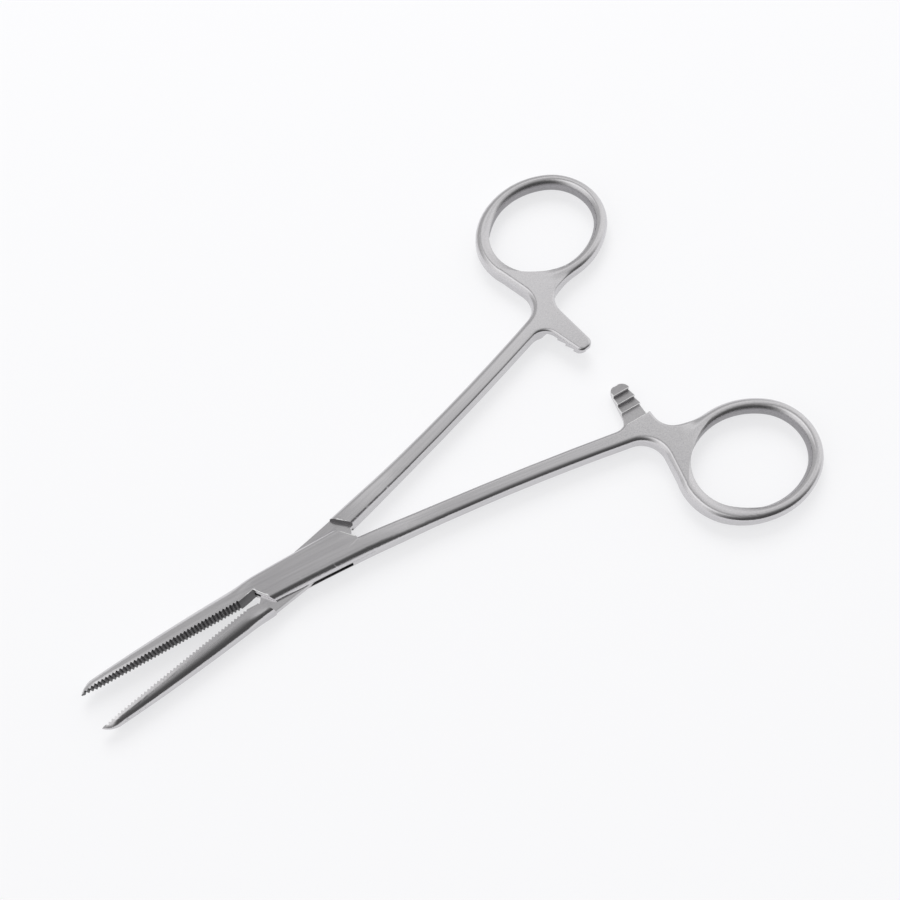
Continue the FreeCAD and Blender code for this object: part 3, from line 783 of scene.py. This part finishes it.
@dataclass
class Studio:
    """The pale table, the soft light round it and the camera above it. Sizes in metres."""

    floor_size: float = 4.0
    floor_colour: Colour = (0.95, 0.95, 0.96, 1.0)
    floor_roughness: float = 0.9
    floor_shine: float = 0.1
    # What the table shows to the camera and to reflections besides its lit colour
    backdrop_colour: Colour = (0.985, 0.985, 1.0, 1.0)
    backdrop_share: float = 0.66
    lamp_place: Triple = (0.45, 0.75, 0.85)
    lamp_width: float = 0.7
    lamp_power: float = 6.4
    camera_place: Triple = (-0.02550, -0.08341, 0.24535)
    camera_target: Triple = (0.0391718, 0.0045915, 0.0)
    camera_lens: float = 50.892
    camera_sensor: float = 36.0
    camera_clip: Pair = (0.01, 20.0)
    sky: Sky = Sky()

    def _floor_material(self) -> bpy.types.Material:
        """A matt table with its shadows, partly drowned in the white of the backdrop.

        Returns:
            The new material.
        """
        material = bpy.data.materials.new("pale table")
        tree = Tree(material)
        lit = tree.node("ShaderNodeBsdfPrincipled", values={
            "Base Color": self.floor_colour, "Roughness": self.floor_roughness,
            "Specular IOR Level": self.floor_shine})
        white = tree.node("ShaderNodeEmission", values={
            "Color": self.backdrop_colour, "Strength": 1.0})
        seen = tree.node("ShaderNodeLightPath", output="Is Camera Ray")
        mirrored = tree.node("ShaderNodeLightPath", output="Is Glossy Ray")
        surface = tree.node("ShaderNodeMixShader", values={
            0: seen.most(mirrored) * self.backdrop_share, 1: lit, 2: white})
        tree.node("ShaderNodeOutputMaterial", values={"Surface": surface})
        return material

    def build_floor(self) -> bpy.types.Object:
        """The table top.

        Returns:
            The floor.
        """
        shape = bmesh.new()
        bmesh.ops.create_grid(shape, x_segments=1, y_segments=1, size=self.floor_size / 2)
        mesh = bpy.data.meshes.new("table")
        shape.to_mesh(mesh)
        shape.free()
        mesh.materials.append(self._floor_material())
        floor = bpy.data.objects.new("table", mesh)
        bpy.context.scene.collection.objects.link(floor)
        return floor

    def build_lamp(self) -> None:
        """A square soft box at the far right, which the steel doesn't mirror."""
        lamp = bpy.data.lights.new("key", "AREA")
        lamp.shape = "SQUARE"
        lamp.size = self.lamp_width
        lamp.energy = self.lamp_power
        hung = bpy.data.objects.new("key", lamp)
        hung.location = self.lamp_place
        hung.rotation_mode = "QUATERNION"
        hung.rotation_quaternion = (-Vector(self.lamp_place)).to_track_quat("-Z", "Y")
        hung.visible_glossy = False
        bpy.context.scene.collection.objects.link(hung)

    def build_camera(self) -> None:
        """The camera above the lower left corner, looking down at the forceps."""
        data = bpy.data.cameras.new("camera")
        data.sensor_width = self.camera_sensor
        data.lens = self.camera_lens
        data.clip_start, data.clip_end = self.camera_clip
        camera = bpy.data.objects.new("camera", data)
        camera.location = self.camera_place
        camera.rotation_mode = "QUATERNION"
        look = Vector(self.camera_target) - Vector(self.camera_place)
        camera.rotation_quaternion = look.to_track_quat("-Z", "Y")
        bpy.context.scene.collection.objects.link(camera)
        bpy.context.scene.camera = camera

    def build(self) -> None:
        """Set the whole studio up."""
        self.build_floor()
        self.sky.build()
        self.build_lamp()
        self.build_camera()
        bpy.context.scene.view_settings.view_transform = "Standard"


def half_finishes(node: str, side: int, ring: RingForm) -> list[Steel]:
    """The finishes of a half, in the order of its zones.

    Args:
        node: The half's name.
        side: 1 for the box half, -1 for the tongue half.
        ring: The form of its finger ring.

    Returns:
        Satin steel with painted shade on the ring's inner wall; near-black steel, which is painted
        shade on the shoulder and the slot walls and part oxide, part painted shade on the jaw's
        teeth; milled steel; and near-white edges as painted highlight.
    """
    turns = {"jaw_turn": JAW_TURN * side, "shank_turn": SHANK_TURN * side}
    return [
        Steel("satin steel of " + node, ring=ring, side=side, **turns),
        # Near black: painted shade on the shoulder and slot walls, part oxide and part painted
        # shade on the jaw's teeth
        Steel("painted shade and cut steel of " + node, Grain.TUMBLED, roughness=0.45,
              colour=(0.09, 0.087, 0.09, 1.0), worn=(0.17, 0.165, 0.17, 1.0)),
        Steel("milled steel of " + node, roughness=0.42,
              colour=(0.46, 0.455, 0.465, 1.0), worn=(0.64, 0.63, 0.64, 1.0), **turns),
        # Painted highlight: near-white steel on the eased edges
        Steel("edges with painted highlight of " + node, roughness=0.50,
              colour=(0.93, 0.93, 0.93, 1.0), worn=(0.99, 0.99, 0.99, 1.0), **turns),
    ]


def main() -> None:
    """Build the forceps and the studio, in order."""
    logging.basicConfig(level=logging.INFO, format="%(message)s")
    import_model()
    ring, jaw, cheek = RingForm(), JawForm(), CheekForm()
    forgings = [
        Forging("box_half", "box_body", half_finishes("box_half", 1, ring), 1,
                (ring, jaw, cheek)),
        Forging("tongue_half", "tongue_body", half_finishes("tongue_half", -1, ring), -1,
                (ring, jaw)),
        Forging("pivot_pin", "box_body", [Steel("satin steel of pivot_pin", jaw_turn=JAW_TURN)]),
    ]
    for forging in forgings:
        piece = forging.build()
        log.info("%s: %d faces", piece.name, len(piece.data.polygons))
    Studio().build()


if __name__ == "__main__":
    main()
